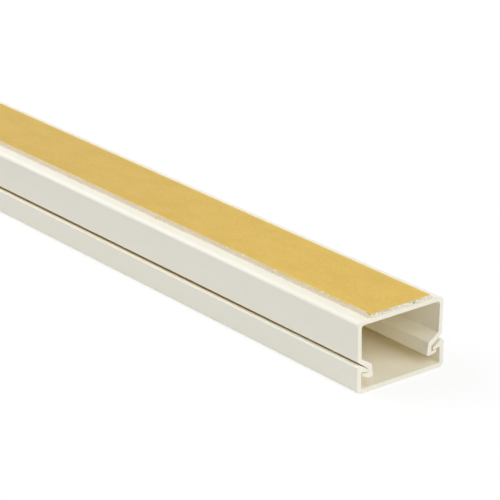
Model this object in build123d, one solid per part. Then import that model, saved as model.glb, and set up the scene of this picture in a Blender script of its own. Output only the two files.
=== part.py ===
"""Two-piece cord cover raceway, lying on its cover with the taped back up.

Two extruded channels clip together along their whole length. The base has a hook along each edge, and
the cover has an inturned lip along each edge that sits in the hook's groove. A strip of foam tape, with
its release liner still on, runs along the back of the base.

X runs across the raceway, Y along it, and Z up from the cover's outer face. The origin lies on that face,
under the middle of the length. Each side of a section is drawn as (x, z) on the right, and the left side is
then mirrored.
"""
from build123d import *
import math
import os

# Overall sizes, in millimetres
LENGTH = 400.0
WIDTH = 25.0
HEIGHT = 17.0

# Cover: a shallow channel with lips that slope down into the raceway, slopes in degrees
COVER_WALL = 1.1
COVER_SIDE = 7.25
FACE_RADIUS = 1.3
LIP_REACH = 3.1
LIP_TIP = 0.75
LIP_TOP_SLOPE = 32.0
LIP_UNDER_SLOPE = 16.0
LIP_CORNER_RADIUS = 0.7

# Base: a deep channel whose sides step inwards and end in hooks
BASE_WALL = 1.0
BASE_INSET = 0.2
TOE_IN = 0.15
BACK_RADIUS = 1.2
INNER_RADIUS = 0.8
STEP_ROOT = 0.4
STEM = 0.9
STEM_LEAN = 0.4
FOOT = 1.15
FOOT_TIP = 0.55

# Clearances between cover and base, which sits a little to one side in the play of its hooks
BASE_SHIFT = -0.25
SEAM_GAP = 0.6
STEP_CLEARANCE = 0.05
SNAP_PLAY = 0.3
SNAP_CLEARANCE = 0.12
FOOT_GAP = 0.3
FOOT_SIDE_GAP = 0.5

# The right hook: its step sits higher over the lip than the left one's, and its foot is thinner and shorter
RIGHT_RISE = 0.45
RIGHT_FOOT = 0.72
RIGHT_FOOT_SIDE_GAP = 0.9

# Foam tape on the back, and its paper liner
TAPE_MARGIN = 3.2
TAPE_SHIFT = 0.1
TAPE_THICKNESS = 1.0
LINER_MARGIN = 0.35
LINER_SHIFT = -0.3
LINER_THICKNESS = 0.12

# Small edges: their usual radius, and the largest share of a wall that one may take
EDGE_RADIUS = 0.3
EDGE_SHARE = 0.4


def edge_radius(wall):
    """Radius of a small edge on a wall of this thickness."""
    return min(EDGE_RADIUS, EDGE_SHARE * wall)


def two_sided_section(right, left):
    """Closed section through a right side's corners (x, z, radius) and the mirror images of a left side's."""
    both = right + [(-x, z, radius) for x, z, radius in reversed(left)]
    points = [(x, z) for x, z, radius in both]
    radii = [radius for x, z, radius in both]
    return make_face(FilletPolyline(*points, radius=radii, close=True))


def extruded(section):
    """Solid of a section along the whole length."""
    return extrude(Plane.XZ * section, amount=LENGTH / 2, both=True)


# The lip, which the base's groove is drawn around
half_width = WIDTH / 2
lip_x = half_width - LIP_REACH
cover_inside = half_width - COVER_WALL


def lip_top(x):
    """Height of the lip's upper face, which falls inwards from the cover's side."""
    return COVER_SIDE - (half_width - x) * math.tan(math.radians(LIP_TOP_SLOPE))


def lip_under(x):
    """Height of the lip's lower face, which is flatter, so the lip is thickest at its root."""
    return lip_top(lip_x) - LIP_TIP + (x - lip_x) * math.tan(math.radians(LIP_UNDER_SLOPE))


def make_cover():
    """Cover: floor, two low sides and their lips."""
    tip_radius = edge_radius(LIP_TIP)
    corners = [
        (half_width, 0, FACE_RADIUS),
        (half_width, COVER_SIDE, LIP_CORNER_RADIUS),
        (lip_x, lip_top(lip_x), tip_radius),
        (lip_x, lip_under(lip_x), tip_radius),
        (cover_inside, lip_under(cover_inside), edge_radius(COVER_WALL)),
        (cover_inside, COVER_WALL, edge_radius(COVER_WALL)),
    ]
    return extruded(two_sided_section(corners, corners))


def base_side(rise, foot, foot_side_gap):
    """Corners of one side of the base: its wall, which leans inwards, the step under it and the hook."""
    side_back = half_width - BASE_INSET
    side_seam = side_back - TOE_IN
    seam = lip_top(side_seam) + SEAM_GAP + rise
    groove_x = lip_x - SNAP_PLAY
    groove_top = lip_top(lip_x) + STEP_CLEARANCE + rise
    groove_floor = lip_under(lip_x) - SNAP_CLEARANCE
    foot_x = cover_inside - foot_side_gap
    foot_top = lip_under(foot_x) - FOOT_GAP
    foot_bottom = groove_floor - foot

    # The step's inner face is one wall away from its underside at the side, and further away at the stem
    step_slope = (seam - groove_top) / (side_seam - groove_x)
    step_rise = BASE_WALL * math.hypot(1, step_slope)
    stem_x = groove_x - STEM
    step_x = side_seam - BASE_WALL
    stem_top = groove_top + (stem_x - groove_x) * step_slope + step_rise + STEP_ROOT
    step_top = groove_top + (step_x - groove_x) * step_slope + step_rise

    return [
        (side_back, HEIGHT, BACK_RADIUS),
        (side_seam, seam, edge_radius(BASE_WALL)),
        (groove_x, groove_top, edge_radius(STEM)),
        (groove_x, groove_floor, edge_radius(STEM)),
        (foot_x, foot_top, edge_radius(FOOT_TIP)),
        (foot_x, foot_top - FOOT_TIP, edge_radius(FOOT_TIP)),
        (groove_x, foot_bottom, edge_radius(foot)),
        (stem_x - STEM_LEAN, foot_bottom, edge_radius(foot)),
        (stem_x, stem_top, edge_radius(STEM)),
        (step_x, step_top, edge_radius(BASE_WALL)),
        (side_back - BASE_WALL, HEIGHT - BASE_WALL, INNER_RADIUS),
    ]


def make_base():
    """Base: a flat back with a wall, a step and a hook along each side."""
    right = base_side(RIGHT_RISE, RIGHT_FOOT, RIGHT_FOOT_SIDE_GAP)
    left = base_side(0, FOOT, FOOT_SIDE_GAP)
    return Pos(X=BASE_SHIFT) * extruded(two_sided_section(right, left))


def make_strip(middle, width, bottom, thickness):
    """Flat strip along the back, with this middle line and lower face."""
    return extruded(Pos(middle, bottom + thickness / 2) * Rectangle(width, thickness))


# The tape lies a little off the middle of the back, and the liner a little off the middle of the tape
tape_width = WIDTH - 2 * (BASE_INSET + TAPE_MARGIN)
tape_middle = BASE_SHIFT + TAPE_SHIFT
liner_width = tape_width - 2 * LINER_MARGIN
liner_middle = tape_middle + LINER_SHIFT
parts = {
    "base_channel": make_base(),
    "cover": make_cover(),
    "foam_tape": make_strip(tape_middle, tape_width, HEIGHT, TAPE_THICKNESS),
    "release_liner": make_strip(liner_middle, liner_width, HEIGHT + TAPE_THICKNESS, LINER_THICKNESS),
}
os.makedirs("parts", exist_ok=True)
for node, solid in parts.items():
    export_step(solid, f"parts/{node}.step")
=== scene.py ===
"""Looks of the cord cover raceway: ivory PVC channels, foam tape and an amber release liner.

Lengths are in metres, in the part's own frame: X across the raceway, Y along it, Z up. The near end is the
one at the lowest Y, and left and right are as seen from there.
"""
import bmesh
import bpy
import math
import random
from mathutils import Matrix, Vector, noise


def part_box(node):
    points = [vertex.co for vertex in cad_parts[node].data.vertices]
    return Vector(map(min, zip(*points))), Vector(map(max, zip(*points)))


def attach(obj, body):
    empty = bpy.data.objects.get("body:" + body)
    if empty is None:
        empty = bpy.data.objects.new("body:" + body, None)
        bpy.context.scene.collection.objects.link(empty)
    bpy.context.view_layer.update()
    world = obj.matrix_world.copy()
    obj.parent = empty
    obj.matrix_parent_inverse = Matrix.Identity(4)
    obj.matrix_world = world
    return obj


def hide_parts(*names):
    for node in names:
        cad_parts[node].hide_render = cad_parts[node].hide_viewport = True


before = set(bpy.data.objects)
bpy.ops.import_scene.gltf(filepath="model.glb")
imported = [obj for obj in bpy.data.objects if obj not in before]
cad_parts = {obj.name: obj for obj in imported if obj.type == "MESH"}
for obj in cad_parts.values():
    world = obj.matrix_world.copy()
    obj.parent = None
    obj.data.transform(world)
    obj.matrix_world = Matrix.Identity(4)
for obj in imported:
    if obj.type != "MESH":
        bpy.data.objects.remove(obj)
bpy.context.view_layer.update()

MM = 0.001
near_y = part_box("base_channel")[0].y

# Camera: the middle of the near end, this high, is seen at this pixel of the square frame
FRAME_PIXELS = 500
FOCAL_PIXELS = 2338.5
SENSOR = 36.0
VIEW_AZIMUTH = math.radians(38.08)
VIEW_ELEVATION = math.radians(21.28)
AIM_POINT = Vector((0, near_y, 8 * MM))
AIM_PIXEL = (401.4, 346.9)
AIM_DISTANCE = 508.2 * MM
CLIP_START = 10 * MM

# Light: dim surroundings that look white, and wide lamps as (name, direction towards it, strength, colour)
AMBIENT = 0.1
SEEN_WHITE = 1.0
WHITE = (1, 1, 1, 1)
LAMPS = (
    ("front_lamp", (0.10, -0.78, 0.60), 1.86, (1.0, 0.985, 0.94)),
    ("back_lamp", (-0.42, 0.69, 0.58), 1.64, (0.98, 0.99, 1.0)),
    ("top_lamp", (0.0, 0.0, 1.0), 0.53, (0.86, 0.95, 1.0)),
)
LAMP_ANGLE = math.radians(60)
LIGHT_BOUNCES = 24

# Floor: its own grey, and for the camera a glow that lifts it to white where the object casts no shadow
FLOOR_SIZE = 12.0
FLOOR_DROP = 0.05 * MM
FLOOR_GREY = 0.80
FLOOR_SEEN_GREY = 0.22
FLOOR_GLOW = 0.805

# Noise in the materials: its detail, its middle, and the spans over which colour and roughness follow it
SOFT_DETAIL = 2.0
FINE_DETAIL = 3.0
NOISE_MIDDLE = 0.5
COLOUR_SPAN = (0.35, 0.65)
ROUGH_SPAN = (0.3, 0.7)

# A face looks along the raceway, or up, where its normal has more than this share of Y or Z
END_FACING = 0.9
UP_FACING = 0.5

# PVC where it was drawn through a die: its colours, the sizes of its lines and clouds along X, Y and Z, and
# the share of plain ivory over the clouds, which the lines raise from the least
IVORY = (0.962, 0.926, 0.812)
IVORY_SHADE = (0.949, 0.909, 0.789)
DIE_LINE_GRAIN = (0.35 * MM, 90 * MM, 0.35 * MM)
DIE_LINE_DEPTH = 0.009 * MM
CLOUD_GRAIN = (5 * MM, 14 * MM, 5 * MM)
PLAIN_LEAST = 0.3
PLAIN_RISE = 0.4
DRAWN_ROUGHNESS = (0.34, 0.45)
PVC_SPECULAR = 0.7

# PVC where it was sawn: paler, rougher and marked by the saw
SAWN_IVORY = (0.976, 0.948, 0.838)
SAWN_SHADE = (0.956, 0.924, 0.806)
SAWN_SPAN = (0.35, 0.6)
SAW_GRAIN = (2.5 * MM, 1.0 * MM, 0.18 * MM)
SAW_DEPTH = 0.05 * MM
SAWN_ROUGHNESS = (0.55, 0.72)

# Seam: outwards from the hooks' stems, the lips' tops and the steps' undersides lie between two slopes. They
# get painted shade, darker and browner, but at the ends only to this share
SEAM_SLOPE = 0.625
SEAM_FOOT = -0.86 * MM
SEAM_HEIGHT = 0.92 * MM
SEAM_ROOT = 8.7 * MM
SEAM_SHADE_EASE = 70 * MM
SEAM_END_SHARE = 0.2
SEAM_SHADE_IVORY = (0.87, 0.78, 0.56)

# Release liner: amber paper, lighter along its slit sides, duller away from the near end, with bright edges
# of pale cut paper lightened by painted light, and painted shade on the crease's edge
AMBER = (0.800, 0.536, 0.120)
AMBER_SHADE = (0.730, 0.475, 0.094)
AMBER_SPAN = (0.4, 0.6)
AMBER_RIM = (0.84, 0.605, 0.150)
RIM_WIDTH = 0.8 * MM
AMBER_FADE = (0.92, 0.92, 0.98)
FADE_LENGTH = 130 * MM
AMBER_CUT_EDGE_AND_LIGHT = (0.97, 0.82, 0.38)
AMBER_CREASE_SHADE = (0.40, 0.24, 0.05)
MOTTLE_GRAIN = (0.6 * MM, 0.6 * MM, 0.6 * MM)
MOTTLE_SHARE = 0.65
MOTTLE_DEPTH = 0.02 * MM
PAPER_CLOUD_GRAIN = (4 * MM, 7 * MM, 4 * MM)
FIBRE_GRAIN = (0.08 * MM, 0.6 * MM, 0.5 * MM)
FIBRE_DEPTH = 0.01 * MM
PAPER_ROUGHNESS = (0.5, 0.62)
PAPER_SPECULAR = 0.3

# Liner's outline: its grid along X, Y and Z, how far it lies off the tape, and the waves of its sides, which
# wander and have scallops and nicks, and of its ends, as (length, reach, seeds)
LINER_GRID = (40, 800, 1)
LINER_LIFT = 0.01 * MM
LINER_SIDES = (
    (30 * MM, 0.05 * MM, (11, 3)),
    (2.6 * MM, 0.13 * MM, (7, 6)),
    (0.9 * MM, 0.04 * MM, (5, 9)),
)
LINER_ENDS = (0.9 * MM, 0.07 * MM, (4, 2))

# A crease runs inwards from the liner's near left corner, and its edge eases out again beyond that. Only the
# outer part of the crease's edge has painted shade. Further on, the left side is set in
CREASE_LENGTH = 2.2 * MM
CREASE_DEPTH = 0.45 * MM
CREASE_EASE = 7.0 * MM
CREASE_SHADE_SHARE = 0.6
INSET = 0.24 * MM
INSET_START = 30 * MM
INSET_EASE = 12 * MM

# The liner's near end laps over the tape and droops at its left corner, and falls short at its right one
FLAP_WIDTH = 4.6 * MM
FLAP_REACH = 0.12 * MM
FLAP_DROOP = 0.06 * MM
SHORT_WIDTH = 5.3 * MM
SHORT_REACH = 0.3 * MM

# A sliver of liner hangs along the crease, from this share of its length to a lower tip past the corner. Its
# width follows a wave between these two angles
SLIVER_ROOT = 0.45
SLIVER_INNER_DROP = 0.06 * MM
SLIVER_OUTER_DROP = 0.16 * MM
SLIVER_TIP = Vector((-0.25, 0.1, 0.0)) * MM
SLIVER_WIDTH = Vector((-0.22, 0.04, -0.02)) * MM
SLIVER_WAVE = (0.05 * math.pi, 0.9 * math.pi)
SLIVER_STATIONS = 10

# Foam tape's slit sides: layers from the foot up, as (height, colour), pale streaks and fine cells
FOAM_FOOT = (0.93, 0.85, 0.69)
FOAM_BODY = (0.92, 0.81, 0.64)
FOAM_FILM = (0.90, 0.76, 0.59)
FOAM_LAYERS = (
    (0.0, FOAM_FOOT), (0.14, FOAM_FOOT), (0.3, FOAM_BODY), (0.62, FOAM_BODY), (0.85, FOAM_FILM),
    (1.0, FOAM_FILM),
)
FOAM_UNEVEN = 0.5
BLOTCH_GRAIN = (0.7 * MM, 0.8 * MM, 0.6 * MM)
FOAM_STREAK = (0.98, 0.93, 0.82)
STREAK_SPAN = (0.5, 0.72)
STREAK_GRAIN = (3 * MM, 0.35 * MM, 3 * MM)
CELL_SHADE = (0.72, 0.58, 0.44)
CELL_LIGHT = (1.0, 0.96, 0.88)
CELL_SHARE = 0.25
CELL_GRAIN = (0.22 * MM, 0.3 * MM, 0.22 * MM)
CELL_DEPTH = 0.06 * MM
FOAM_ROUGHNESS = 0.85
FOAM_SPECULAR = 0.2

# Foam tape's top has painted light right of the liner, and a little under the liner's edge, which makes it
# paler
FOAM_TOP_PAINTED_LIGHT = (0.97, 0.94, 0.87)
PAINTED_LIGHT_OVERLAP = 0.3 * MM

# Foam tape's torn ends: colours from the deepest tears up, and a spotted foot
TORN_SHADES = ((0.34, (0.58, 0.56, 0.52)), (0.45, (0.85, 0.82, 0.75)), (0.58, (0.96, 0.93, 0.85)))
TORN_GRAIN = (0.5 * MM, 0.5 * MM, 0.28 * MM)
FOAM_END_FOOT = (0.92, 0.87, 0.73)
FOAM_END_SPOT = (0.84, 0.74, 0.50)
SPOT_SPAN = (0.46, 0.58)
END_FOOT_SPAN = (0.35, 0.1)

# Foam tape's outline: its grid along X, Y and Z, the wave of its slit sides, how rough they and its top are,
# how far its ends are torn and set back, and how far its corners are worn
FOAM_GRID = (74, 1000, 6)
FOAM_WANDER = (22 * MM, 0.10 * MM, (7, 0))
SLIT_GRAIN = 0.55 * MM
SLIT_DEPTH = 0.06 * MM
TOP_DEPTH = 0.05 * MM
TEAR_GRAIN = 0.45 * MM
TEAR_DEPTH = 0.16 * MM
WIDE_TEAR_GRAIN = 1.7 * MM
WIDE_TEAR_SHARE = 0.6
TEAR_BACK = 0.10 * MM
CORNER_WEAR = 0.2 * MM

# Small bits: their looks as (darker colour, lighter colour, size of blotches, roughness), how deep the
# blotches are, and how lumpy the bits are
# The sliver's lighter colour is the liner's cut-edge colour, pale paper lightened by painted light
SLIVER_LOOK = (AMBER_RIM, AMBER_CUT_EDGE_AND_LIGHT, 0.5 * MM, 0.55)
FLECK_LOOK = ((0.92, 0.88, 0.79), (0.97, 0.95, 0.89), 0.3 * MM, 0.7)
SHRED_LOOK = ((0.86, 0.74, 0.28), (0.92, 0.84, 0.48), 0.4 * MM, 0.6)
CRUMB_LOOK = ((0.88, 0.84, 0.75), (0.96, 0.94, 0.88), 0.25 * MM, 0.8)
ADHESIVE_LOOK = ((0.34, 0.32, 0.28), (0.62, 0.60, 0.55), 0.3 * MM, 0.4)
SPECK_LOOK = ((0.82, 0.70, 0.50), (0.95, 0.90, 0.80), 0.2 * MM, 0.7)
BIT_DEPTH = 0.03 * MM
BIT_SUBDIVISIONS = 2
BIT_SWELL = 0.45
BIT_LUMPS = 1.6

# Flecks of foam on the tape's upper edges: on the left at these distances from the near end and at random
# further on, and on the right at random all along, where they sit lower
FLECKS = (
    10.8 * MM, 13.8 * MM, 15.9 * MM, 20.5 * MM, 21.5 * MM, 32.3 * MM, 44.3 * MM, 50.1 * MM, 66.2 * MM,
    66.8 * MM, 77.6 * MM, 100.8 * MM, 111.1 * MM, 120.5 * MM,
)
FURTHER_FLECKS = 22
FURTHER_FROM = 130 * MM
FLECK_SIZES = (0.17 * MM, 0.42 * MM, 0.17 * MM)
FLECK_SCALES = (0.7, 1.25)
FLECK_INSETS = (0.0, 0.1 * MM)
FLECK_DEPTHS = (-0.07 * MM, 0.08 * MM)
RIGHT_FLECK_DROP = 0.2 * MM
FLECK_TURNS = (-0.5, 0.5)
FLECK_SEED = 4

# Shreds of liner on the tape's left side, as (distance from the near end, height in the tape, half size)
SHREDS = ((77.85 * MM, 0.28 * MM, 0.5 * MM), (33.1 * MM, 0.55 * MM, 0.18 * MM))
SHRED_PROUD = 0.05 * MM
SHRED_THICKNESS = 0.12 * MM

# Crumbs of foam on each torn end, clear of its edges, with the span of their half sizes along X, Y and Z
CRUMBS = 46
CRUMB_SIDE_MARGIN = 0.3 * MM
CRUMB_TOP_MARGIN = 0.1 * MM
CRUMB_DEPTHS = (0.02 * MM, 0.16 * MM)
CRUMB_SIZES = ((0.08 * MM, 0.26 * MM), (0.06 * MM, 0.12 * MM), (0.06 * MM, 0.15 * MM))
CRUMB_TURNS = (-0.4, 0.4)
CRUMB_SEED = 9

# Grey blobs of adhesive on each torn end, as (distance right of the middle, height in the tape, half width)
BLOBS = (
    (3.5 * MM, 0.62 * MM, 0.5 * MM), (2.1 * MM, 0.9 * MM, 0.26 * MM), (-1.5 * MM, 0.65 * MM, 0.18 * MM),
    (-2.1 * MM, 0.48 * MM, 0.16 * MM), (-3.95 * MM, 0.7 * MM, 0.24 * MM), (-4.83 * MM, 0.73 * MM, 0.18 * MM),
    (-5.7 * MM, 0.77 * MM, 0.15 * MM), (-8.0 * MM, 0.72 * MM, 0.2 * MM),
)
BLOB_DEPTH = 0.03 * MM
BLOB_THICKNESS = 0.12 * MM
BLOB_FLATNESS = 0.55
BLOB_TURNS = (-0.3, 0.3)

# Specks of dust on the liner, as (distance right of the middle, distance from the near end, half size), and
# more at random further on, within these spans
SPECKS = (
    (6.2 * MM, 105.25 * MM, 0.09 * MM), (3.0 * MM, 81.25 * MM, 0.12 * MM), (-2.7 * MM, 21.4 * MM, 0.17 * MM),
)
FURTHER_SPECKS = 7
SPECKS_ACROSS = (-8 * MM, 7.5 * MM)
SPECKS_ALONG = (150 * MM, 395 * MM)
SPECK_SIZES = (0.08 * MM, 0.17 * MM)
SPECK_FLATNESS = 0.4
SPECK_LIFT = 0.03 * MM
SPECK_SEED = 2


def make_camera():
    """Camera left of the near end and above it."""
    side, height = math.sin(VIEW_AZIMUTH), math.sin(VIEW_ELEVATION)
    ahead, level = math.cos(VIEW_AZIMUTH), math.cos(VIEW_ELEVATION)
    back = Vector((-side * level, -ahead * level, height))
    right = Vector((ahead, -side, 0))
    up = back.cross(right)
    across = (AIM_PIXEL[0] - FRAME_PIXELS / 2) / FOCAL_PIXELS * AIM_DISTANCE
    below = (AIM_PIXEL[1] - FRAME_PIXELS / 2) / FOCAL_PIXELS * AIM_DISTANCE
    data = bpy.data.cameras.new("camera")
    data.sensor_width = SENSOR
    data.lens = FOCAL_PIXELS / FRAME_PIXELS * SENSOR
    data.clip_start = CLIP_START
    camera = bpy.data.objects.new("camera", data)
    bpy.context.scene.collection.objects.link(camera)
    camera.location = AIM_POINT + back * AIM_DISTANCE - right * across + up * below
    camera.rotation_mode = "QUATERNION"
    camera.rotation_quaternion = (-back).to_track_quat("-Z", "Y")
    bpy.context.scene.camera = camera


def node(tree, kind, inputs=(), **settings):
    """New shader node, whose inputs are given as (socket, value) or (socket, output that feeds it)."""
    made = tree.nodes.new("ShaderNode" + kind)
    for name, value in settings.items():
        setattr(made, name, value)
    for socket, value in inputs:
        if isinstance(value, bpy.types.NodeSocket):
            tree.links.new(value, made.inputs[socket])
        else:
            made.inputs[socket].default_value = value
    return made


def grain(tree, place, sizes, detail=SOFT_DETAIL):
    """Noise from 0 to 1 whose grains have these sizes along X, Y and Z."""
    scaled = node(tree, "Mapping", [("Vector", place), ("Scale", [1 / size for size in sizes])])
    inputs = [("Vector", scaled.outputs[0]), ("Scale", 1.0), ("Detail", detail)]
    return node(tree, "TexNoise", inputs).outputs["Fac"]


def mapped(tree, value, start, end, first=0.0, last=1.0):
    """Value eased from first, at start, to last, at end."""
    inputs = [
        ("Value", value), ("From Min", start), ("From Max", end), ("To Min", first), ("To Max", last),
    ]
    return node(tree, "MapRange", inputs, interpolation_type="SMOOTHSTEP").outputs["Result"]


def maths(tree, operation, *values):
    """Result of one sum on these values."""
    return node(tree, "Math", enumerate(values), operation=operation).outputs[0]


def all_of(tree, first, *others):
    """Product of masks, which is 1 only where each of them is."""
    for other in others:
        first = maths(tree, "MULTIPLY", first, other)
    return first


def shades(tree, value, stops):
    """Colour that goes through these (position, colour) stops."""
    made = node(tree, "ValToRGB", [("Fac", value)])
    points = made.color_ramp.elements
    while len(points) < len(stops):
        points.new(1.0)
    for point, (position, colour) in zip(points, stops):
        point.position = position
        point.color = (*colour, 1)
    return made.outputs["Color"]


def blotched(tree, value, dark, light, span=COLOUR_SPAN):
    """Colour from dark to light over a span of values."""
    return shades(tree, value, list(zip(span, (dark, light))))


def mixed(tree, share, first, second, blend="MIX"):
    """Mix of two colours, with this share of the second."""
    made = node(tree, "Mix", [("Factor", share)], data_type="RGBA", blend_type=blend)
    colours = [socket for socket in made.inputs if socket.type == "RGBA"]
    for socket, colour in zip(colours, (first, second)):
        if isinstance(colour, bpy.types.NodeSocket):
            tree.links.new(colour, socket)
        else:
            socket.default_value = (*colour, 1)
    return next(socket for socket in made.outputs if socket.type == "RGBA")


def axis(tree, vector, name):
    """One part, X, Y or Z, of a vector."""
    return node(tree, "SeparateXYZ", [("Vector", vector)]).outputs[name]


def relief(tree, height, depth, over=None):
    """Normal of a surface whose height from 0 to 1 stands for this depth, over another relief."""
    inputs = [("Height", height), ("Distance", depth)]
    if over is not None:
        inputs.append(("Normal", over))
    return node(tree, "Bump", inputs).outputs["Normal"]


def new_material(name):
    """Material, its node tree and its surface shader."""
    material = bpy.data.materials.new(name)
    material.use_nodes = True
    return material, material.node_tree, material.node_tree.nodes["Principled BSDF"]


def feed(tree, shader, **sources):
    """Links outputs to the shader's sockets, named with _ for a space."""
    for name, source in sources.items():
        tree.links.new(source, shader.inputs[name.replace("_", " ")])


def end_faces(tree, normal):
    """1 on faces that look along the raceway, where it was sawn or torn off, and 0 elsewhere."""
    along = maths(tree, "ABSOLUTE", axis(tree, normal, "Y"))
    return maths(tree, "GREATER_THAN", along, END_FACING)


def upper_faces(tree, normal):
    """1 on faces that look up, and 0 elsewhere."""
    return maths(tree, "GREATER_THAN", axis(tree, normal, "Z"), UP_FACING)


def in_seam(tree, place):
    """Up to 1 on the faces in the two seams between base and cover, where shade is painted, and 0 elsewhere.
    """
    off_middle = maths(tree, "ABSOLUTE", axis(tree, place, "X"))
    slope = maths(tree, "MULTIPLY", off_middle, SEAM_SLOPE)
    height = maths(tree, "SUBTRACT", axis(tree, place, "Z"), slope)
    above = maths(tree, "GREATER_THAN", height, SEAM_FOOT)
    below = maths(tree, "LESS_THAN", height, SEAM_FOOT + SEAM_HEIGHT)
    beyond = maths(tree, "GREATER_THAN", off_middle, SEAM_ROOT)
    from_middle = maths(tree, "ABSOLUTE", axis(tree, place, "Y"))
    inside = mapped(tree, from_middle, -near_y, -near_y - SEAM_SHADE_EASE, SEAM_END_SHARE, 1.0)
    return all_of(tree, above, below, beyond, inside)


def ivory_pvc():
    """Satin PVC with faint die lines, painted shade in the seams, and paler, rougher faces where it was
    sawn.
    """
    material, tree, shader = new_material("ivory_pvc")
    where = node(tree, "TexCoord").outputs
    place = where["Object"]
    lines = grain(tree, place, DIE_LINE_GRAIN, FINE_DETAIL)
    clouds = grain(tree, place, CLOUD_GRAIN)
    saw = grain(tree, place, SAW_GRAIN, FINE_DETAIL)
    sawn = end_faces(tree, where["Normal"])

    plain = maths(tree, "MULTIPLY_ADD", lines, PLAIN_RISE, PLAIN_LEAST)
    drawn_colour = mixed(tree, plain, blotched(tree, clouds, IVORY_SHADE, IVORY), IVORY)
    # Painted shade, darker and browner, on the faces in the seams between base and cover
    drawn_colour = mixed(tree, in_seam(tree, place), drawn_colour, SEAM_SHADE_IVORY)
    sawn_colour = blotched(tree, saw, SAWN_SHADE, SAWN_IVORY, SAWN_SPAN)
    colour = mixed(tree, sawn, drawn_colour, sawn_colour)

    drawn_rough = mapped(tree, lines, *ROUGH_SPAN, *DRAWN_ROUGHNESS)
    sawn_rough = mapped(tree, saw, *ROUGH_SPAN, *SAWN_ROUGHNESS)
    inputs = [("Factor", sawn), ("A", drawn_rough), ("B", sawn_rough)]
    rough = node(tree, "Mix", inputs, data_type="FLOAT").outputs["Result"]
    lined = relief(tree, all_of(tree, lines, maths(tree, "SUBTRACT", 1.0, sawn)), DIE_LINE_DEPTH)
    marked = relief(tree, all_of(tree, saw, sawn), SAW_DEPTH, lined)
    feed(tree, shader, Base_Color=colour, Roughness=rough, Normal=marked)
    shader.inputs["Specular IOR Level"].default_value = PVC_SPECULAR
    return material


def in_crease_shade(tree, place):
    """1 on the edge of the crease's outer part at the liner's near left corner, where shade is painted, and
    0 elsewhere.
    """
    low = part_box("release_liner")[0]
    near = maths(tree, "LESS_THAN", axis(tree, place, "Y"), low.y + CREASE_SHADE_SHARE * CREASE_LENGTH)
    behind = maths(tree, "GREATER_THAN", axis(tree, place, "Y"), low.y)
    left = maths(tree, "LESS_THAN", axis(tree, place, "X"), low.x + 2 * CREASE_DEPTH)
    return all_of(tree, near, behind, left)


def liner_paper():
    """Amber release paper with a fine mottle, faint fibres, a lighter rim and a paler near end."""
    material, tree, shader = new_material("liner_paper")
    low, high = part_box("release_liner")
    where = node(tree, "TexCoord").outputs
    place = where["Object"]
    mottle = grain(tree, place, MOTTLE_GRAIN, FINE_DETAIL)
    clouds = grain(tree, place, PAPER_CLOUD_GRAIN)
    fibres = grain(tree, place, FIBRE_GRAIN)

    fine = maths(tree, "MULTIPLY", mottle, MOTTLE_SHARE)
    broad = maths(tree, "MULTIPLY", clouds, 1 - MOTTLE_SHARE)
    paper = blotched(tree, maths(tree, "ADD", fine, broad), AMBER_SHADE, AMBER, AMBER_SPAN)
    faded = mapped(tree, axis(tree, place, "Y"), low.y, low.y + FADE_LENGTH)
    paper = mixed(tree, faded, paper, mixed(tree, 1.0, paper, AMBER_FADE, "MULTIPLY"))
    half = (high.x - low.x) / 2
    from_middle = maths(tree, "SUBTRACT", axis(tree, place, "X"), low.x + half)
    off_middle = maths(tree, "ABSOLUTE", from_middle)
    rim = mapped(tree, off_middle, half - RIM_WIDTH, half)
    # Cut edges: pale paper lightened by painted light; on the crease's outer edge, painted shade
    edge = mixed(tree, in_crease_shade(tree, place), AMBER_CUT_EDGE_AND_LIGHT, AMBER_CREASE_SHADE)
    colour = mixed(tree, upper_faces(tree, where["Normal"]), edge, mixed(tree, rim, paper, AMBER_RIM))

    roughness = mapped(tree, mottle, *ROUGH_SPAN, *PAPER_ROUGHNESS)
    woven = relief(tree, fibres, FIBRE_DEPTH, relief(tree, mottle, MOTTLE_DEPTH))
    feed(tree, shader, Base_Color=colour, Roughness=roughness, Normal=woven)
    shader.inputs["Specular IOR Level"].default_value = PAPER_SPECULAR
    return material


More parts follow.
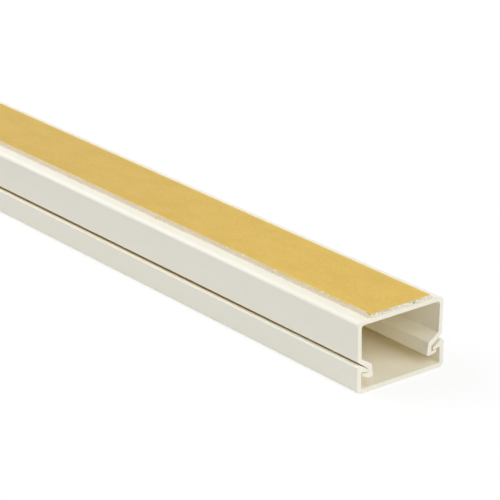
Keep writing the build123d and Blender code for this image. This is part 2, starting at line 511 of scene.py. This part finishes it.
def tape_foam():
    """Foam tape: tan, streaked sides with a paler foot and a film on top, painted light on its top right of
    the liner, and whiter, blotched torn ends.
    """
    material, tree, shader = new_material("tape_foam")
    low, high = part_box("foam_tape")
    where = node(tree, "TexCoord").outputs
    place = where["Object"]
    cells = grain(tree, place, CELL_GRAIN, FINE_DETAIL)
    blotches = grain(tree, place, BLOTCH_GRAIN)
    torn = grain(tree, place, TORN_GRAIN, FINE_DETAIL)
    streaks = grain(tree, place, STREAK_GRAIN)

    height = mapped(tree, axis(tree, place, "Z"), low.z, high.z)
    unevenness = maths(tree, "MULTIPLY", maths(tree, "SUBTRACT", blotches, NOISE_MIDDLE), FOAM_UNEVEN)
    uneven = maths(tree, "ADD", height, unevenness)
    layers = shades(tree, uneven, FOAM_LAYERS)
    streaked = mixed(tree, mapped(tree, streaks, *STREAK_SPAN), layers, FOAM_STREAK)
    slit_colour = mixed(tree, CELL_SHARE, streaked, blotched(tree, cells, CELL_SHADE, CELL_LIGHT))

    # Painted light makes the foam's top paler right of the liner
    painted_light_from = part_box("release_liner")[1].x - PAINTED_LIGHT_OVERLAP
    beside_liner = maths(tree, "GREATER_THAN", axis(tree, place, "X"), painted_light_from)
    painted_light = all_of(tree, beside_liner, upper_faces(tree, where["Normal"]))
    body_colour = mixed(tree, painted_light, slit_colour, FOAM_TOP_PAINTED_LIGHT)

    spotted = mixed(tree, mapped(tree, blotches, *SPOT_SPAN), FOAM_END_FOOT, FOAM_END_SPOT)
    end_foot = mapped(tree, uneven, *END_FOOT_SPAN)
    end_colour = mixed(tree, end_foot, shades(tree, torn, TORN_SHADES), spotted)
    colour = mixed(tree, end_faces(tree, where["Normal"]), body_colour, end_colour)
    feed(tree, shader, Base_Color=colour, Normal=relief(tree, cells, CELL_DEPTH))
    shader.inputs["Roughness"].default_value = FOAM_ROUGHNESS
    shader.inputs["Specular IOR Level"].default_value = FOAM_SPECULAR
    return material


def mottled(name, look):
    """Material with blotches of two colours, for small bits."""
    dark, light, size, roughness = look
    material, tree, shader = new_material(name)
    blotches = grain(tree, node(tree, "TexCoord").outputs["Object"], (size, size, size), FINE_DETAIL)
    feed(tree, shader, Base_Color=blotched(tree, blotches, dark, light))
    feed(tree, shader, Normal=relief(tree, blotches, BIT_DEPTH))
    shader.inputs["Roughness"].default_value = roughness
    return material


def seen_rays(tree):
    """1 for the rays that show the background as it is, straight or in shiny or clear surfaces, else 0."""
    rays = node(tree, "LightPath").outputs
    mirrored = maths(tree, "MAXIMUM", rays["Is Glossy Ray"], rays["Is Transmission Ray"])
    return maths(tree, "MAXIMUM", rays["Is Camera Ray"], mirrored)


def make_world():
    """Dim surroundings, which the camera and clear or shiny surfaces see as plain white."""
    world = bpy.data.worlds.new("surroundings")
    bpy.context.scene.world = world
    world.use_nodes = True
    tree = world.node_tree
    seen = seen_rays(tree)
    strength = node(tree, "MapRange", [("Value", seen), ("To Min", AMBIENT), ("To Max", SEEN_WHITE)])
    background = tree.nodes["Background"]
    background.inputs["Color"].default_value = WHITE
    tree.links.new(strength.outputs["Result"], background.inputs["Strength"])


def grey_surface(tree, level):
    """Dull surface of one grey."""
    return node(tree, "BsdfDiffuse", [("Color", (level, level, level, 1))]).outputs[0]


def make_floor():
    """Pale floor under the raceway, white to the camera, with the raceway's soft shadow."""
    material, tree, shader = new_material("floor_white")
    tree.nodes.remove(shader)
    glow = node(tree, "Emission", [("Color", WHITE), ("Strength", FLOOR_GLOW)])
    white = node(tree, "AddShader", [(0, grey_surface(tree, FLOOR_SEEN_GREY)), (1, glow.outputs[0])])
    plain = grey_surface(tree, FLOOR_GREY)
    both = node(tree, "MixShader", [(0, seen_rays(tree)), (1, plain), (2, white.outputs[0])])
    tree.links.new(both.outputs[0], tree.nodes["Material Output"].inputs["Surface"])

    half = FLOOR_SIZE / 2
    corners = [(-half, -half, 0), (half, -half, 0), (half, half, 0), (-half, half, 0)]
    mesh = bpy.data.meshes.new("floor")
    mesh.from_pydata(corners, [], [(0, 1, 2, 3)])
    mesh.materials.append(material)
    floor = bpy.data.objects.new("floor", mesh)
    bpy.context.scene.collection.objects.link(floor)
    floor.location.z = -FLOOR_DROP


def make_lamps():
    """Wide soft lamps: a warm one in front of the near end, one behind on the left, and a cool one above."""
    for name, source, strength, colour in LAMPS:
        data = bpy.data.lights.new(name, "SUN")
        data.energy = strength
        data.color = colour
        data.angle = LAMP_ANGLE
        lamp = bpy.data.objects.new(name, data)
        bpy.context.scene.collection.objects.link(lamp)
        lamp.rotation_mode = "QUATERNION"
        lamp.rotation_quaternion = (-Vector(source)).to_track_quat("-Z", "Y")


def finish_node(name, material):
    """Gives a CAD node its material."""
    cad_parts[name].material_slots[0].material = material


def piece(name, shape, material):
    """New piece of the base from a shape, with a material, attached to the base's body."""
    bmesh.ops.recalc_face_normals(shape, faces=shape.faces)
    mesh = bpy.data.meshes.new(name)
    shape.to_mesh(mesh)
    shape.free()
    mesh.materials.append(material)
    made = bpy.data.objects.new(name, mesh)
    bpy.context.scene.collection.objects.link(made)
    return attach(made, "base")


def slab(low, high, counts, place):
    """Closed strip with grids on its sides and ends, single faces across it, and points moved by place."""
    columns, stations, rows = counts
    shape = bmesh.new()
    points = {}

    def point(i, j, k):
        """Point at this column, station and row, made when it is first asked for."""
        if (i, j, k) not in points:
            share = Vector((i / columns, j / stations, k / rows))
            corner = Vector(a + (b - a) * s for a, b, s in zip(low, high, share))
            points[i, j, k] = shape.verts.new(place(corner, share))
        return points[i, j, k]

    def upright(first, second, k):
        """Face between two points of one row, given by column and station, and those above them."""
        shape.faces.new((point(*first, k), point(*second, k), point(*second, k + 1), point(*first, k + 1)))

    def across(j, k):
        """Points across one station: all of them at the ends, and elsewhere those of the sides."""
        return [point(i, j, k) for i in (range(columns + 1) if j in (0, stations) else (0, columns))]

    for k in range(rows):
        for i in (0, columns):
            for j in range(stations):
                upright((i, j), (i, j + 1), k)
        for j in (0, stations):
            for i in range(columns):
                upright((i, j), (i + 1, j), k)
    for k in (0, rows):
        for j in range(stations):
            shape.faces.new(across(j, k) + across(j + 1, k)[::-1])
    return shape


def edge_of(share):
    """-1 at the start of a length, 1 at its end and 0 between them."""
    return (share == 1.0) - (share == 0.0)


def side_wave(wave, side, y):
    """How far a side stands out at this place along it."""
    length, reach, (row, layer) = wave
    return reach * noise.noise(Vector((row * side, y / length, layer)))


def end_wave(wave, end, x):
    """How far an end stands out at this place across it."""
    length, reach, (row, layer) = wave
    return reach * noise.noise(Vector((x / length, row * end, layer)))


def make_foam():
    """Foam tape whose slit sides wander and whose ends are torn."""
    low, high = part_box("foam_tape")

    def place(corner, share):
        """Where a point of the plain strip goes."""
        side, end = edge_of(share.x), edge_of(share.y)
        rough = noise.noise(corner / SLIT_GRAIN)
        torn = noise.noise(corner / TEAR_GRAIN) + WIDE_TEAR_SHARE * noise.noise(corner / WIDE_TEAR_GRAIN)
        outward = side_wave(FOAM_WANDER, side, corner.y) + SLIT_DEPTH * rough
        move = Vector((side * outward, end * (TEAR_DEPTH * torn - TEAR_BACK), 0))
        if share.z == 1.0:
            move.z = -TOP_DEPTH * (1 + rough)
        if side and end:
            move -= Vector((side * CORNER_WEAR, end * CORNER_WEAR, 0))
        return corner + move

    foam = piece("foam_tape_cut", slab(low, high, FOAM_GRID, place), tape_foam())
    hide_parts("foam_tape")


def make_liner():
    """Release liner whose slit edges wander, with a crease at its near left corner."""
    low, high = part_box("release_liner")

    def place(corner, share):
        """Where a point of the plain strip goes."""
        side, end = edge_of(share.x), edge_of(share.y)
        along = corner.y - low.y
        outward = sum(side_wave(wave, side, corner.y) for wave in LINER_SIDES)
        move = Vector((side * outward, end * end_wave(LINER_ENDS, end, corner.x), LINER_LIFT))
        if side < 0 and along < CREASE_LENGTH:
            move.x = CREASE_DEPTH * along / CREASE_LENGTH
        elif side < 0:
            move.x += CREASE_DEPTH * max(0.0, 1 - (along - CREASE_LENGTH) / CREASE_EASE)
            move.x += INSET * min(max((along - INSET_START) / INSET_EASE, 0.0), 1.0)
        if end < 0:
            flap = max(0.0, 1 - (corner.x - low.x) / FLAP_WIDTH)
            short = max(0.0, 1 - (high.x - corner.x) / SHORT_WIDTH)
            move += Vector((0, SHORT_REACH * short - FLAP_REACH * flap, -FLAP_DROOP * flap))
        return corner + move

    liner = piece("liner_sheet", slab(low, high, LINER_GRID, place), liner_paper())
    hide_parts("release_liner")


def make_sliver():
    """Sliver of liner that hangs along the outer half of the crease and ends in a tip beside the corner."""
    low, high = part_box("release_liner")
    shape = bmesh.new()
    inner_end = Vector((low.x + CREASE_DEPTH, low.y + CREASE_LENGTH, low.z - SLIVER_INNER_DROP))
    outer_end = Vector((low.x, low.y - FLAP_REACH, low.z - SLIVER_OUTER_DROP))
    root = inner_end.lerp(outer_end, SLIVER_ROOT)
    tip = outer_end + SLIVER_TIP
    up = Vector((0, 0, high.z - low.z))
    wave_start, wave_end = SLIVER_WAVE
    rings = []
    for j in range(SLIVER_STATIONS + 1):
        along = j / SLIVER_STATIONS
        inner = root.lerp(tip, along)
        outer = inner + SLIVER_WIDTH * math.sin(wave_start + (wave_end - wave_start) * along)
        rings.append([shape.verts.new(p) for p in (inner, outer, outer + up, inner + up)])
    for first, second in zip(rings, rings[1:]):
        for a in range(len(first)):
            b = (a + 1) % len(first)
            shape.faces.new((first[a], first[b], second[b], second[a]))
    shape.faces.new(rings[0])
    shape.faces.new(rings[-1])
    piece("liner_sliver", shape, mottled("sliver_yellow", SLIVER_LOOK))


def crumb(shape, middle, sizes, turn, seed):
    """Adds one uneven crumb of these half sizes, turned about Z."""
    made = bmesh.ops.create_icosphere(shape, subdivisions=BIT_SUBDIVISIONS, radius=1.0)["verts"]
    turned = Matrix.Rotation(turn, 3, "Z")
    for vert in made:
        swell = 1 + BIT_SWELL * noise.noise(vert.co * BIT_LUMPS + Vector((seed, 0, 0)))
        vert.co = middle + turned @ Vector(c * s * swell for c, s in zip(vert.co, sizes))


def make_flecks():
    """White flecks of torn foam along the tape's upper edges."""
    low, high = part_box("foam_tape")
    draw = random.Random(FLECK_SEED)
    shape = bmesh.new()
    left = [(low.x, low.y + far) for far in FLECKS]
    left += [(low.x, draw.uniform(low.y + FURTHER_FROM, high.y)) for each in range(FURTHER_FLECKS)]
    right = [(high.x, draw.uniform(low.y, high.y)) for each in range(FURTHER_FLECKS)]
    for index, (x, y) in enumerate(left + right):
        inward = 1 if x == low.x else -1
        x += inward * draw.uniform(*FLECK_INSETS)
        drop = RIGHT_FLECK_DROP if inward < 0 else 0.0
        middle = Vector((x, y, high.z - drop - draw.uniform(*FLECK_DEPTHS)))
        sizes = [size * draw.uniform(*FLECK_SCALES) for size in FLECK_SIZES]
        crumb(shape, middle, sizes, draw.uniform(*FLECK_TURNS), index)
    piece("foam_flecks", shape, mottled("fleck_white", FLECK_LOOK))


def make_shreds():
    """Shreds of the liner on the tape's left side."""
    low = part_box("foam_tape")[0]
    shape = bmesh.new()
    for far, up, size in SHREDS:
        middle = Vector((low.x - SHRED_PROUD, low.y + far, low.z + up))
        crumb(shape, middle, (SHRED_THICKNESS, size, size), 0.0, far / MM)
    piece("liner_shreds", shape, mottled("shred_yellow", SHRED_LOOK))


def make_end_crumbs():
    """Crumbs of foam and blobs of grey adhesive along the tape's torn ends."""
    low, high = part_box("foam_tape")
    draw = random.Random(CRUMB_SEED)
    crumbs, glue = bmesh.new(), bmesh.new()
    for y, inward in ((low.y, 1), (high.y, -1)):
        for index in range(CRUMBS):
            middle = Vector((
                draw.uniform(low.x + CRUMB_SIDE_MARGIN, high.x - CRUMB_SIDE_MARGIN),
                y + inward * draw.uniform(*CRUMB_DEPTHS),
                draw.uniform(low.z + CRUMB_TOP_MARGIN, high.z - CRUMB_TOP_MARGIN),
            ))
            sizes = [draw.uniform(*span) for span in CRUMB_SIZES]
            crumb(crumbs, middle, sizes, draw.uniform(*CRUMB_TURNS), index)
        for x, up, size in BLOBS:
            middle = Vector((x * inward, y + inward * BLOB_DEPTH, low.z + up))
            sizes = (size, BLOB_THICKNESS, BLOB_FLATNESS * size)
            crumb(glue, middle, sizes, draw.uniform(*BLOB_TURNS), x / MM)
    piece("foam_crumbs", crumbs, mottled("crumb_white", CRUMB_LOOK))
    piece("adhesive_blobs", glue, mottled("adhesive_grey", ADHESIVE_LOOK))


def make_specks():
    """Pale specks of dust on the liner."""
    low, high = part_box("release_liner")
    draw = random.Random(SPECK_SEED)
    shape = bmesh.new()
    specks = list(SPECKS)
    for each in range(FURTHER_SPECKS):
        specks.append([draw.uniform(*span) for span in (SPECKS_ACROSS, SPECKS_ALONG, SPECK_SIZES)])
    for index, (x, far, size) in enumerate(specks):
        middle = Vector((x, low.y + far, high.z + SPECK_LIFT))
        crumb(shape, middle, (size, size, SPECK_FLATNESS * size), 0.0, index)
    piece("liner_specks", shape, mottled("speck_pale", SPECK_LOOK))


make_camera()
make_world()
make_floor()
make_lamps()

pvc = ivory_pvc()
finish_node("base_channel", pvc)
finish_node("cover", pvc)
make_foam()
make_liner()
make_sliver()
make_flecks()
make_shreds()
make_end_crumbs()
make_specks()

bpy.context.scene.cycles.max_bounces = LIGHT_BOUNCES
bpy.context.scene.cycles.diffuse_bounces = LIGHT_BOUNCES
bpy.context.scene.view_settings.view_transform = "Standard"
